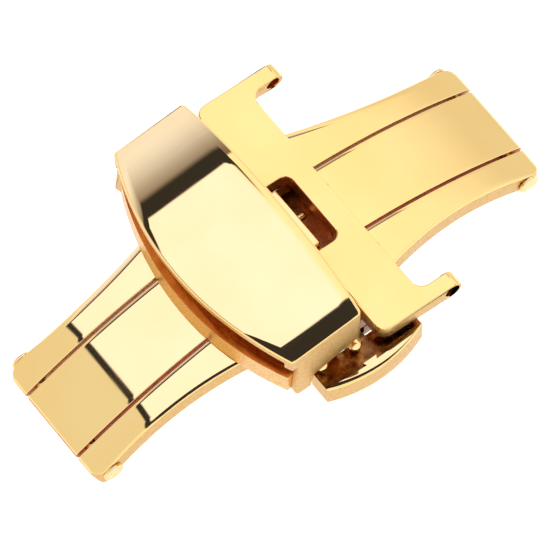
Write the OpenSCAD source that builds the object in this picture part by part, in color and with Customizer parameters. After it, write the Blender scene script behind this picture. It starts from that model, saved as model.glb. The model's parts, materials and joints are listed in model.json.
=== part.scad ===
// Pushbutton butterfly clasp for a leather watch strap, closed.
// X runs along the clasp from the keeper side to the lug side, Y across the strap, Z up.
// The floor is the level of the blade ends, and the origin is under the middle of the whole clasp.

/* [Strap] */
// Width of the strap that the clasp takes
strap_w = 18; // [14:0.5:24]
// Play of the strap between the lugs and between the lips of the keeper
strap_play = 0.2; // [0.1:0.05:0.6]

/* [Arch] */
// Radius of the outer face of the arched blades
arch_r = 38.1; // [32:0.1:60]
// Length of the closed clasp over the blade ends
span = 37.4; // [34:0.1:46]
// Thickness of the blades and of the base frame
blade_t = 1.45; // [1.2:0.05:1.8]
// Radius of the rounded edges at the blade ends
end_r = 0.4; // [0.2:0.05:0.5]

/* [Base frame] */
// Width over the two rails where they are narrowest
waist_w = 9.7; // [8.6:0.1:12]
// Distance of the waist from the middle of the clasp
waist_x = 14.3; // [11:0.1:16]
// Radius of the hollow outer edges of the rails
flare_r = 36; // [30:1:80]
// Width of each blade
blade_w = 5.34; // [4.4:0.02:6.4]
// Gap between a blade and the rail beside it
slot_w = 0.22; // [0.15:0.01:0.3]
// Corner radius of the rail ends, seen from above
end_corner_r = 1; // [0.4:0.1:1.2]

/* [Hinges] */
// Distance of the hinge axes from the ends of the clasp
hinge_inset = 1.28; // [1.1:0.02:2]
// Diameter of the hinge pins
pin_d = 0.9; // [0.6:0.05:0.9]
// Diameter of the hinge pin heads
pin_head_d = 1.5; // [1.3:0.05:1.8]
// Thickness of the hinge pin heads
pin_head_t = 0.22; // [0.1:0.02:0.5]

/* [Lock housing] */
// Length of the lock housing along the clasp
housing_l = 8.8; // [8.6:0.1:9.4]
// Width of the lock housing across the clasp
housing_w = 16.1; // [14.6:0.1:17]
// Depth of the lock housing below the base frame
housing_h = 1.45; // [1.4:0.05:2]
// Thickness of the walls of the lock housing
housing_wall = 0.4; // [0.3:0.05:0.6]

/* [Pusher] */
// Length of the button along the clasp
button_l = 7.9; // [6:0.1:8.4]
// Height of the button
button_h = 2; // [1.6:0.05:2.3]
// Depth of the button across its ends
button_end_d = 1.7; // [1.4:0.05:2.4]
// Bulge of the outer face of the button
button_bulge = 0.8; // [0.5:0.05:1.6]
// Travel of the button
button_travel = 0.8; // [0.4:0.05:0.8]
// Thickness of the latch slide
slide_t = 0.42; // [0.3:0.02:0.5]

/* [Keeper] */
// Thickness of the cover plate and of its lips
cover_t = 0.55; // [0.4:0.05:0.9]
// Height of the cover's end edges above the crown of the base frame
cover_edge_h = 5; // [4.4:0.1:7]
// Length of the flat middle of the cover, across the clasp
cover_flat = 9; // [4:0.5:14]
// Radius of the bends between the flat middle and the ends of the cover
cover_bend_r = 20; // [14:1:60]
// Distance of the bulging edge of the cover from the middle of the clasp
cover_left = 8.4; // [7.6:0.05:9.5]
// Bulge of that edge
cover_left_bulge = 2.3; // [1:0.1:3]
// Bulge of the cover's other edge, which crosses the middle of the clasp
cover_right_bulge = 0.42; // [0.1:0.05:1]
// Height of the keeper tray's rim above the blade
tray_h = 2.1; // [1.4:0.1:2.6]
// Thickness of the tray's walls
tray_wall = 0.55; // [0.4:0.05:0.9]
// Inset of the tray's rim under the edge of the cover
tray_inset = 0.3; // [0.1:0.05:0.6]

/* [Lug plate] */
// Length of the lug plate along the clasp, without the lugs
plate_l = 3.95; // [3.6:0.05:5]
// Distance of the plate's free edge from the middle of the clasp
plate_x = 0.85; // [0.7:0.05:1.2]
// Thickness of the lug plate
plate_t = 1.25; // [1:0.05:1.6]
// Height of the lug plate's top above the crown of the base frame
plate_h = 1.35; // [1.2:0.05:1.9]
// Thickness of each lug across the strap
lug_t = 1.18; // [0.9:0.02:1.6]
// Distance from the plate's edge to the spring bar holes
lug_reach = 1.95; // [1.6:0.05:3]
// Diameter of the spring bar holes
bar_hole_d = 1; // [0.8:0.05:1.3]
// Width of the window across the plate
window_w = 5.8; // [4.8:0.1:7]
// Depth of the window from the plate's free edge
window_l = 2.25; // [1.8:0.05:2.7]

/* [Hidden] */

gold = [0.93, 0.76, 0.42];
deep_gold = [0.85, 0.62, 0.30];
steel = [0.72, 0.72, 0.74];

// Round parts are smooth enough to count as true circles
fine = 96;
arc_fine = 360;
// Clearance of a shaft in the bore it is fixed in, and of a hinge pin in a knuckle
seat_play = 0.02;
pin_play = 0.05;
// Gap kept between curved faces that move against each other
skim = 0.15;
eps = 0.01;
// How far a corner's arc centre lies in from both sides, as a share of its radius
corner_share = 0.98;

// Height of the crown over the floor, which the rounded blade ends just touch
blade_end = span / 2;
end_angle = asin((blade_end - end_r) / (arch_r - end_r));
crown_z = arch_r + end_r - (arch_r - blade_t + end_r) * cos(end_angle);
arch_cz = crown_z - arch_r;
function arch_z(x, out = 0) = arch_cz + sqrt(pow(arch_r + out, 2) - x * x);

// Hinges, in the middle of the blades' thickness
hinge_x = blade_end - hinge_inset;
hinge_z = arch_z(hinge_x, -blade_t / 2);
knuckle_bore_r = pin_d / 2 + pin_play;

// Base frame
waist_half = waist_w / 2;
function rail_half(x) = waist_half + flare_r - sqrt(pow(flare_r, 2) - pow(abs(x) - waist_x, 2));
slot_half = blade_w / 2 + slot_w;
rail_end_half = rail_half(hinge_x);
bridge_left = -1.7;
block_right = 1.75;

// Housing and what moves in it
floor_t = 0.25;
slide_drop = 0.23;
slide_play = 0.1;
housing_z = crown_z - blade_t - housing_h;
slide_z = crown_z - blade_t - slide_drop - slide_t;
runway_z = slide_z - slide_play;
runway_half = 1.2;
housing_half = housing_w / 2;
rivet_r = 0.3;
rivet_inset = 0.65;
// How far the rivets' ends stay below the face that they come up to
rivet_sink = 0.05;
spine_half = 0.8;
window_half = 0.5;
catch_x = 2.6;
catch_y = 5;
catch_r = 0.45;
catch_neck_r = 0.32;
catch_foot_z = housing_z + floor_t + seat_play;
catch_foot_t = 0.3;
catch_groove_top = crown_z - 1.45;
catch_swing = 0.85;
nose_gap = 0.1;
bar_w = 0.7;
near_bar_y = -catch_y + catch_r + nose_gap;
far_bar_y = catch_y + catch_r + nose_gap;
spring_post_y = 2.2;
spring_post_t = 0.5;
spring_from = near_bar_y + bar_w + 0.5;
spring_d = 0.6;
spring_wire = 0.12;
spring_turns = 9;

// Button
button_gap = 0.1;
button_in = housing_half + button_travel + button_gap;
button_end_y = button_in + button_end_d;
button_top_z = crown_z - 0.33;
button_r = (pow(button_l / 2, 2) + pow(button_bulge, 2)) / (2 * button_bulge);
button_out_y = button_end_y + button_bulge;
button_arc_y = button_out_y - button_r;
tang_l = 1.25;
button_pin_r = 0.3;
button_pin_h = 1.1;

// Keeper
keeper_half = (strap_w + strap_play) / 2;
cover_half = keeper_half + cover_t;
cover_tilt = 4.5;
cover_mid_x = -3.1;
cover_bend_start = cover_flat / 2;
cover_bend_drop = cover_bend_r - sqrt(pow(cover_bend_r, 2) - pow(cover_half - cover_bend_start, 2));
cover_top_z = crown_z + cover_edge_h + cover_bend_drop;
cover_left_r = (pow(cover_half, 2) + pow(cover_left_bulge, 2)) / (2 * cover_left_bulge);
cover_right_r = (pow(cover_half, 2) + pow(cover_right_bulge, 2)) / (2 * cover_right_bulge);
cover_right = 0.05;
cover_corner_r = 0.35;
lip_low = -0.55;
lip_left_x = -5.85;
lip_foot_x = -4.55;
notch_left_z = 0.8;
notch_right_z = 1.95;
tray_left = cover_left - tray_inset;
tray_right = -1.75;
tray_floor_t = 0.5;
tray_pad_gap = 0.02;
pad_inset = 0.6;
tray_front_h = 1.4;
keeper_pin_x = -3.4;
keeper_pin_z = 0.48;
keeper_pin_r = 0.42;
keeper_pin_out = 0.6;
catch_seat_z = arch_z(catch_x, skim + tray_floor_t) - seat_play;
peg_x = -4.7;
peg_r = 0.7;
peg_h = 2.9;

// Lug plate
plate_half = keeper_half + lug_t;
plate_tilt = 4.4;
plate_mid_x = plate_x + plate_l / 2;
plate_right = plate_x + plate_l;
bar_x = plate_right + lug_reach;
lug_over = 0.2;
plate_corner_r = 0.9;
lug_fillet_r = 0.8;
window_r = 0.7;
window_right = plate_x + window_l;

// Blades
left_blade_in = -1.9;
right_blade_in = plate_x + window_l + 0.1;
blade_notch_w = 2.8;
blade_notch_l = 0.75;
right_rivet_x = right_blade_in + 0.8;
right_rivet_y = 2;
right_rivet_r = 0.3;
// How far the rivets and the catches reach up into the lug plate
right_rivet_out = 0.55;
right_catch_out = 0.65;
left_rivet_y = 1.6;
left_rivet_far = -6.4;
left_rivet_near = -3;
left_rivet_r = 0.35;
// Length of the rivets past the blade and the tray's floor
left_rivet_out = 0.7;

// Cross bar and centre block
cross_x = -0.75;
cross_r = 0.5;
cross_z = crown_z + 0.36;
cross_half = keeper_half + 0.75;
block_left = -1.45;
block_half = 2.45;
block_top = crown_z + 1.3;
post_y = 6.7;
post_w = 0.9;
// Metal of the posts over and beside the cross bar
post_reach = cross_r + 0.15;
detent_y = 0.5;
detent_r = 0.28;
detent_z = crown_z - 0.55;
detent_out = 1.1;

// The part stands with its origin under the middle of its bounding box
shift_y = (button_out_y - plate_half) / 2;

// Whole slab between two radii of the arch, across the given width
module arch_slab(inner, outer, width) {
    translate([0, 0, arch_cz]) rotate([90, 0, 0]) linear_extrude(width, center = true)
        difference() {
            circle(arch_r + outer, $fn = arc_fine);
            circle(arch_r + inner, $fn = arc_fine);
        }
}

// Side view of the slab that the blades and rails are cut from, square to the arch at its ends
module arch_side() {
    reach = 2 * arch_r;
    intersection() {
        difference() {
            circle(arch_r, $fn = arc_fine);
            circle(arch_r - blade_t, $fn = arc_fine);
        }
        polygon([[0, 0], [reach * sin(end_angle), reach * cos(end_angle)], [0, 2 * reach],
                 [-reach * sin(end_angle), reach * cos(end_angle)]]);
    }
    for (s = [-1, 1]) rotate(-s * end_angle) {
        translate([s * end_r / 2, arch_r - blade_t / 2]) square([end_r, blade_t - 2 * end_r], center = true);
        translate([0, arch_r - end_r]) circle(end_r, $fn = fine);
        translate([0, arch_r - blade_t + end_r]) circle(end_r, $fn = fine);
    }
}

// Arched bar of the full thickness, under a plan outline
module arch_bar(width) {
    intersection() {
        translate([0, 0, arch_cz]) rotate([90, 0, 0]) linear_extrude(width, center = true) arch_side();
        translate([0, 0, -1]) linear_extrude(crown_z + 2) children();
    }
}

// Part of a slab under a plan outline
module arch_piece(inner, outer, width) {
    intersection() {
        arch_slab(inner, outer, width);
        translate([0, 0, -1]) linear_extrude(crown_z + 4) children();
    }
}

// Rectangle with rounded corners; the arcs cross its sides at a slight angle
module round_rect(l, w, r) {
    k = r * corner_share;
    intersection() {
        square([l, w], center = true);
        union() {
            square([l - 2 * k, w + 2], center = true);
            square([l + 2, w - 2 * k], center = true);
            for (sx = [-1, 1], sy = [-1, 1]) translate([sx * (l / 2 - k), sy * (w / 2 - k)]) circle(r, $fn = fine);
        }
    }
}

module y_cylinder(r, l, x = 0, y = 0, z = 0) {
    translate([x, y, z]) rotate([90, 0, 0]) cylinder(r = r, h = l, center = true, $fn = fine);
}

module block(x0, x1, y0, y1, z0, z1) {
    translate([x0, y0, z0]) cube([x1 - x0, y1 - y0, z1 - z0]);
}

// Outline of the two pairs of rails from above, hollow along their outer edges
module rail_plan() {
    wide = 2 * rail_half(housing_l / 2 - 0.5);
    intersection() {
        difference() {
            square([2 * blade_end, wide], center = true);
            for (sx = [-1, 1], sy = [-1, 1])
                translate([sx * waist_x, sy * (waist_half + flare_r)]) circle(flare_r, $fn = arc_fine);
        }
        union() {
            round_rect(2 * blade_end, 2 * rail_end_half, end_corner_r);
            square([2 * waist_x, wide + 1], center = true);
        }
    }
}

module base_plan() {
    rail_plan();
    square([housing_l, housing_w], center = true);
}

module hinge_bores(r, l) {
    for (s = [-1, 1]) y_cylinder(r, l, s * hinge_x, 0, hinge_z);
}

module catch_slots() {
    for (sx = [-1, 1], sy = [-1, 1]) translate([sx * catch_x, sy * catch_y, 0]) {
        block(sx > 0 ? -catch_r - skim : -catch_r - catch_swing,
              sx > 0 ? catch_r + catch_swing : catch_r + skim,
              -catch_r - skim, catch_r + skim, 0, crown_z + 1);
    }
}

module base_frame() {
    color(gold) difference() {
        union() {
            arch_bar(housing_w + 1) base_plan();
            for (s = [-1, 1]) block(block_left, cross_x + post_reach, s * post_y - post_w / 2,
                                    s * post_y + post_w / 2, crown_z - blade_t / 2, cross_z + post_reach);
        }
        // Slots for the blades, open from the bridge to the ends
        block(-blade_end - 1, bridge_left, -slot_half, slot_half, -1, crown_z + 1);
        block(block_right, blade_end + 1, -slot_half, slot_half, -1, crown_z + 1);
        catch_slots();
        hinge_bores(pin_d / 2 + seat_play, 2 * rail_end_half + 2);
        y_cylinder(cross_r + seat_play, housing_w + 1, cross_x, 0, cross_z);
        housing_rivet_places() cylinder(r = rivet_r + seat_play, h = 2 * crown_z, $fn = fine);
    }
}

module housing_rivet_places() {
    for (sx = [-1, 1], sy = [-1, 1])
        translate([sx * (housing_l / 2 - rivet_inset), sy * (housing_half - rivet_inset), 0]) children();
}

// Shallow tray under the base frame that holds the slide and its spring
module lock_housing() {
    inside_l = housing_l - 2 * housing_wall;
    inside_w = housing_w - 2 * housing_wall;
    post = window_half - slide_play;
    color(gold) difference() {
        intersection() {
            block(-housing_l / 2, housing_l / 2, -housing_half, housing_half, housing_z, crown_z);
            y_cylinder(arch_r - blade_t - seat_play, housing_w + 1, 0, 0, arch_cz);
        }
        difference() {
            block(-inside_l / 2, inside_l / 2, -inside_w / 2, inside_w / 2, housing_z + floor_t, crown_z);
            housing_rivet_places() cylinder(r = rivet_inset, h = crown_z, $fn = fine);
            block(-runway_half, runway_half, -housing_half, housing_half, housing_z, runway_z);
            block(-post, post, spring_post_y, spring_post_y + spring_post_t, housing_z, slide_z + slide_t);
        }
        // The blades pass over the end walls
        for (s = [-1, 1]) translate([s * housing_l / 2, 0, 0])
            block(-1, 1, -slot_half, slot_half, crown_z - blade_t - housing_l * housing_l / 8 / arch_r - 2 * skim, crown_z);
        // Way of the slide through the wall on the button's side
        block(-spine_half - skim, spine_half + skim, -housing_half - 1, -housing_half + housing_wall + slide_play,
              runway_z, slide_z + slide_t + slide_play);
        housing_rivet_places() cylinder(r = rivet_r + seat_play, h = crown_z + 1, $fn = fine);
    }
}

module housing_rivets() {
    color(deep_gold) housing_rivet_places() translate([0, 0, housing_z])
        cylinder(r = rivet_r, h = arch_z(housing_l / 2) - rivet_sink - housing_z, $fn = fine);
}

module centre_block() {
    color(gold) difference() {
        block(block_left, block_right, -block_half, block_half, crown_z, block_top);
        y_cylinder(cross_r + seat_play, 2 * block_half + 1, cross_x, 0, cross_z);
    }
}

module cross_bar() {
    color(gold) rotate([90, 0, 0]) translate([cross_x, cross_z, 0]) {
        cylinder(r = cross_r, h = 2 * (cross_half - cross_r / 2), center = true, $fn = fine);
        for (s = [-1, 1]) intersection() {
            translate([0, 0, s * (cross_half - cross_r)]) sphere(r = cross_r, $fn = fine);
            translate([0, 0, s * cross_half]) cube([2, 2, 2 * cross_r], center = true);
        }
    }
}

module detent_pin() {
    color(gold) translate([block_right, detent_y, detent_z]) rotate([0, 90, 0]) {
        cylinder(r = detent_r, h = detent_out - detent_r, $fn = fine);
        translate([0, 0, detent_out - detent_r]) sphere(r = detent_r, $fn = fine);
    }
}

module hinge_pin(side) {
    color(deep_gold) translate([side * hinge_x, 0, hinge_z]) {
        y_cylinder(pin_d / 2, 2 * (rail_end_half + pin_head_t));
        for (s = [-1, 1]) y_cylinder(pin_head_d / 2, pin_head_t, 0, s * (rail_end_half + pin_head_t / 2));
    }
}
module hinge_pin_left() hinge_pin(-1);
module hinge_pin_right() hinge_pin(1);

// Crescent button with a pocket for the tang of the slide
module pusher_button() {
    color(gold) difference() {
        translate([0, 0, button_top_z - button_h]) linear_extrude(button_h) intersection() {
            translate([0, -button_arc_y]) circle(button_r, $fn = arc_fine);
            translate([-button_l / 2, -button_out_y - 1]) square([button_l, button_end_d + button_bulge + 1]);
        }
        block(-spine_half - seat_play, spine_half + seat_play, -button_in - tang_l - seat_play, -button_in + 1,
              slide_z - seat_play, slide_z + slide_t + seat_play);
        translate([0, -button_in - tang_l / 2, button_top_z - button_h - 1])
            cylinder(r = button_pin_r + seat_play, h = 1 + button_pin_h + 0.05, $fn = fine);
    }
}

// Flat slide: a tang in the button, a spine, and two bars whose edges face the catches
module latch_slide() {
    reach = catch_x + catch_r;
    color(steel) translate([0, 0, slide_z]) difference() {
        linear_extrude(slide_t) difference() {
            union() {
                translate([-spine_half, -button_in - tang_l])
                    square([2 * spine_half, button_in + tang_l + far_bar_y + bar_w]);
                for (y = [near_bar_y, far_bar_y]) translate([-reach, y]) square([2 * reach, bar_w]);
            }
            translate([-window_half, spring_from]) square([2 * window_half, spring_post_y + spring_post_t
                + button_travel + skim - spring_from]);
        }
        translate([0, -button_in - tang_l / 2, -1]) cylinder(r = button_pin_r + seat_play, h = 3, $fn = fine);
    }
}

module button_pin() {
    color(deep_gold) translate([0, -button_in - tang_l / 2, button_top_z - button_h])
        cylinder(r = button_pin_r, h = button_pin_h, $fn = fine);
}

// Compression spring in the window of the slide, swept along its helix
spring_sides = 6;
spring_steps = 14;
spring_axis_z = (runway_z + crown_z - blade_t) / 2;
spring_len = spring_post_y - spring_from;
spring_coil_r = (spring_d - spring_wire) / 2;
spring_pitch = (spring_len - spring_wire) / spring_turns;
spring_rings = spring_turns * spring_steps;
function spring_point(i) = let (t = i / spring_steps) [
    spring_coil_r * cos(360 * t),
    spring_from + spring_wire / 2 + spring_pitch * t,
    spring_axis_z + spring_coil_r * sin(360 * t)];
function spring_ring(i) = let (t = i / spring_steps, a = 360 * t, c = spring_point(i)) [
    for (k = [0 : spring_sides - 1]) let (b = 360 * k / spring_sides)
        c + spring_wire / 2 * [cos(b) * cos(a), sin(b), cos(b) * sin(a)]];

module pusher_spring() {
    points = [for (i = [0 : spring_rings]) each spring_ring(i)];
    n = spring_sides;
    last = spring_rings * n;
    sides = [for (i = [0 : spring_rings - 1], k = [0 : n - 1]) let (a = i * n + k, b = i * n + (k + 1) % n)
        each [[a, b + n, b], [a, a + n, b + n]]];
    caps = [for (k = [1 : n - 2]) each [[0, k, k + 1], [last, last + k + 1, last + k]]];
    color(steel) polyhedron(points, concat(sides, caps), convexity = 10);
}

// Arched strip bored for the hinge pin at its outer end
module blade(side, inner_end) {
    x0 = side < 0 ? -blade_end - 1 : inner_end;
    x1 = side < 0 ? inner_end : blade_end + 1;
    difference() {
        arch_bar(blade_w) translate([x0, -blade_w]) square([x1 - x0, 2 * blade_w]);
        y_cylinder(knuckle_bore_r, blade_w + 1, side * hinge_x, 0, hinge_z);
    }
}

module left_rivet_places() {
    for (x = [left_rivet_far, left_rivet_near], s = [-1, 1]) translate([x, s * left_rivet_y, 0]) children();
}

module left_blade() {
    color(gold) difference() {
        blade(-1, left_blade_in);
        left_rivet_places() cylinder(r = left_rivet_r + seat_play, h = crown_z + 2, $fn = fine);
    }
}

// Keeper outline from above, drawn in by the given inset
module keeper_plan(left, inset, half) {
    intersection() {
        translate([cover_left_r - left, 0]) circle(cover_left_r - inset, $fn = arc_fine);
        translate([-cover_left - 1, -half + inset]) square([cover_left + 1 + tray_right - inset, 2 * (half - inset)]);
    }
}

// Open tray that the strap lies over: an arched floor, a rim all round and a pad on the blade
module keeper_tray() {
    color(deep_gold) difference() {
        union() {
            difference() {
                arch_piece(skim, tray_h, 2 * keeper_half) keeper_plan(tray_left, 0, keeper_half);
                arch_piece(skim + tray_floor_t, tray_h + 1, 2 * keeper_half)
                    keeper_plan(tray_left, tray_wall, keeper_half);
                block(tray_right - tray_wall - 0.2, 1, -keeper_half - 1, keeper_half + 1,
                      crown_z + tray_front_h, crown_z + tray_h + 2);
            }
            arch_piece(tray_pad_gap, skim + tray_floor_t, blade_w)
                translate([-tray_left + pad_inset, -blade_w / 2])
                    square([tray_left - pad_inset + tray_right, blade_w]);
        }
        left_rivet_places() cylinder(r = left_rivet_r + seat_play, h = crown_z + 6, $fn = fine);
        translate([peg_x, 0, 0]) cylinder(r = peg_r / 2 + seat_play, h = crown_z + 3, $fn = fine);
        for (s = [-1, 1]) translate([-catch_x, s * catch_y, 0])
            cylinder(r = catch_neck_r + seat_play, h = catch_seat_z + 0.02, $fn = fine);
        y_cylinder(keeper_pin_r + seat_play, 2 * keeper_half + 1, keeper_pin_x, 0, keeper_pin_z + crown_z);
    }
}

// Section of the cover across the clasp: flat middle, bent ends, straight lips
module cover_section(inset) {
    half = cover_half - inset;
    top = -inset;
    r = cover_bend_r - inset;
    intersection() {
        union() {
            translate([-cover_bend_start, -12]) square([2 * cover_bend_start, 12 + top]);
            for (s = [-1, 1]) intersection() {
                translate([s * cover_bend_start, -cover_bend_r]) circle(r, $fn = arc_fine);
                translate([s > 0 ? cover_bend_start - eps : -half - 1, -12]) square([half + 1 - cover_bend_start + eps, 13]);
            }
        }
        translate([-half, -12]) square([2 * half, 13]);
    }
}

module tilt_cover() {
    translate([cover_mid_x, 0, cover_top_z]) rotate([0, -cover_tilt, 0]) children();
}

// Outline of the lips from the side, cut out of a tall block
module lip_trim() {
    low = crown_z + lip_low;
    corner = 0.5;
    rotate([90, 0, 0]) linear_extrude(2 * cover_half + 2, center = true) union() {
        translate([lip_left_x - 4, crown_z + 3.6]) square([14, 6]);
        polygon([[lip_left_x - 0.35, crown_z + 3.7], [lip_left_x, low + corner], [lip_left_x + corner, low],
                 [lip_foot_x, low], [lip_foot_x + 0.25, crown_z + notch_left_z],
                 [cover_right + 0.1, crown_z + notch_right_z], [cover_right + 0.4, crown_z + 3.7]]);
        translate([lip_left_x + corner, low + corner]) circle(corner, $fn = fine);
    }
}

// Outline of the cover from above: two bulging edges, rounded corners on the lug side
module cover_plan() {
    corner_x = cover_right - cover_right_bulge - cover_corner_r;
    intersection() {
        translate([cover_left_r - cover_left, 0]) circle(cover_left_r, $fn = arc_fine);
        translate([cover_right - cover_right_r, 0]) circle(cover_right_r, $fn = 720);
        union() {
            translate([-cover_left - 1, -cover_half - 1]) square([cover_left + 1 + corner_x, 2 * cover_half + 2]);
            translate([corner_x - eps, -cover_half + cover_corner_r])
                square([2, 2 * (cover_half - cover_corner_r)]);
            for (s = [-1, 1]) translate([corner_x, s * (cover_half - cover_corner_r)])
                circle(cover_corner_r, $fn = fine);
        }
    }
}

module keeper_cover() {
    color(gold) intersection() {
        tilt_cover() rotate([90, 0, 90]) linear_extrude(24, center = true) difference() {
            cover_section(0);
            cover_section(cover_t);
        }
        translate([0, 0, crown_z - 2]) linear_extrude(12) cover_plan();
        lip_trim();
    }
}

module keeper_pins() {
    inner = keeper_half - 1.3;
    outer = keeper_half + keeper_pin_out;
    color(gold) for (s = [-1, 1]) {
        y_cylinder(keeper_pin_r, outer - keeper_pin_r / 2 - inner, keeper_pin_x,
                   s * (inner + outer - keeper_pin_r / 2) / 2, keeper_pin_z + crown_z);
        intersection() {
            translate([keeper_pin_x, s * (outer - keeper_pin_r), keeper_pin_z + crown_z])
                sphere(r = keeper_pin_r, $fn = fine);
            translate([keeper_pin_x, s * outer, crown_z]) cube([2, 2 * keeper_pin_r, 6], center = true);
        }
    }
}

// Peg that enters the strap's hole, riveted into the tray floor
module strap_peg() {
    seat = arch_z(peg_x, skim + tray_floor_t) + rivet_sink;
    color(deep_gold) translate([peg_x, 0, 0]) {
        translate([0, 0, seat]) cylinder(r = peg_r, h = peg_h - peg_r / 2, $fn = fine);
        translate([0, 0, seat - tray_floor_t]) cylinder(r = peg_r / 2, h = tray_floor_t + rivet_sink, $fn = fine);
        translate([0, 0, seat + peg_h - peg_r]) intersection() {
            sphere(r = peg_r, $fn = fine);
            translate([0, 0, peg_r]) cube([2 * peg_r, 2 * peg_r, 2 * peg_r], center = true);
        }
    }
}

module left_rivets() {
    foot = arch_z(left_rivet_far) - blade_t + rivet_sink;
    color(deep_gold) left_rivet_places() translate([0, 0, foot])
        cylinder(r = left_rivet_r, h = blade_t + tray_floor_t + left_rivet_out, $fn = fine);
}

// Stud with a groove that the slide's bar faces
module catch_stud(top) {
    translate([0, 0, catch_foot_z]) cylinder(r = catch_r, h = catch_foot_t, $fn = fine);
    translate([0, 0, catch_foot_z]) cylinder(r = catch_neck_r, h = top - catch_foot_z, $fn = fine);
    translate([0, 0, catch_groove_top]) cylinder(r = catch_r, h = crown_z - catch_groove_top, $fn = fine);
}

module left_catches() {
    color(steel) for (s = [-1, 1]) translate([-catch_x, s * catch_y, 0]) catch_stud(catch_seat_z);
}

module right_rivet_places() {
    for (s = [-1, 1]) translate([right_rivet_x, s * right_rivet_y, 0]) children();
}

module right_blade() {
    color(gold) difference() {
        blade(1, right_blade_in);
        // Rounded notch that the detent pin points into
        translate([right_blade_in + blade_notch_l - blade_notch_w / 2, 0, 0]) intersection() {
            cylinder(r = blade_notch_w / 2, h = crown_z + 2, $fn = fine);
            block(-3, 3, -blade_notch_w / 2, blade_notch_w / 2, 0, crown_z + 2);
        }
        right_rivet_places() cylinder(r = right_rivet_r + seat_play, h = crown_z + 2, $fn = fine);
    }
}

module tilt_plate() {
    translate([plate_mid_x, 0, crown_z + plate_h]) rotate([0, plate_tilt, 0]) translate([-plate_mid_x, 0, 0]) children();
}

module lug_plan() {
    difference() {
        union() {
            difference() {
                translate([plate_x, -plate_half]) square([plate_l, 2 * plate_half]);
                for (s = [-1, 1]) translate([plate_x, s * plate_half]) square(2 * plate_corner_r, center = true);
            }
            for (s = [-1, 1]) translate([plate_x + plate_corner_r, s * (plate_half - plate_corner_r)])
                circle(plate_corner_r, $fn = fine);
            for (s = [-1, 1]) translate([plate_right - eps, s > 0 ? keeper_half : -plate_half])
                square([lug_reach + lug_over + plate_t + eps, lug_t]);
            for (s = [-1, 1]) translate([plate_right - eps, s > 0 ? keeper_half - lug_fillet_r : -keeper_half - eps])
                square([lug_fillet_r + eps, lug_fillet_r + eps]);
        }
        for (s = [-1, 1]) translate([plate_right + lug_fillet_r, s * (keeper_half - lug_fillet_r)])
            circle(lug_fillet_r, $fn = fine);
        // Window, open towards the keeper
        translate([plate_x - 1, -window_w / 2]) square([window_l + 1 - window_r, window_w]);
        translate([plate_x - 1, -window_w / 2 + window_r]) square([window_l + 1, window_w - 2 * window_r]);
        for (s = [-1, 1]) translate([window_right - window_r, s * (window_w / 2 - window_r)])
            circle(window_r, $fn = fine);
    }
}

// Side view of the plate: full thickness, with rounded lug tips about the bar holes
module lug_side() {
    translate([plate_x - 1, -plate_t]) square([bar_x + lug_over - plate_x + 1, plate_t]);
    translate([bar_x + lug_over, -plate_t / 2]) circle(plate_t / 2, $fn = fine);
}

module lug_plate() {
    color(gold) difference() {
        union() {
            tilt_plate() difference() {
                intersection() {
                    translate([0, 0, -plate_t - 1]) linear_extrude(plate_t + 2) lug_plan();
                    rotate([90, 0, 0]) linear_extrude(2 * plate_half + 2, center = true) lug_side();
                }
                y_cylinder(bar_hole_d / 2, 2 * plate_half + 2, bar_x, 0, -plate_t / 2);
            }
            // Pad that the plate sits on the blade with
            arch_piece(tray_pad_gap, plate_h - plate_t / 2, blade_w)
                translate([window_right + 0.2, -blade_w / 2]) square([plate_right - 0.4 - window_right, blade_w]);
        }
        for (s = [-1, 1]) translate([catch_x, s * catch_y, crown_z - 1])
            cylinder(r = catch_neck_r + seat_play, h = 1 + right_catch_out + rivet_sink, $fn = fine);
        right_rivet_places() translate([0, 0, crown_z - 1])
            cylinder(r = right_rivet_r + seat_play, h = 1 + right_rivet_out + rivet_sink, $fn = fine);
    }
}

module right_rivets() {
    foot = arch_z(right_rivet_x + right_rivet_r) - blade_t;
    color(deep_gold) right_rivet_places() translate([0, 0, foot])
        cylinder(r = right_rivet_r, h = crown_z + right_rivet_out - foot, $fn = fine);
}

module right_catches() {
    color(steel) for (s = [-1, 1]) translate([catch_x, s * catch_y, 0]) catch_stud(crown_z + right_catch_out);
}

module place() translate([0, shift_y, 0]) children();

place() base_frame();
place() lock_housing();
place() housing_rivets();
place() centre_block();
place() cross_bar();
place() detent_pin();
place() hinge_pin_left();
place() hinge_pin_right();
place() pusher_button();
place() latch_slide();
place() button_pin();
place() pusher_spring();
place() left_blade();
place() keeper_tray();
place() keeper_cover();
place() keeper_pins();
place() strap_peg();
place() left_rivets();
place() left_catches();
place() right_blade();
place() lug_plate();
place() right_rivets();
place() right_catches();
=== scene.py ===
import json
import math

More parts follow.
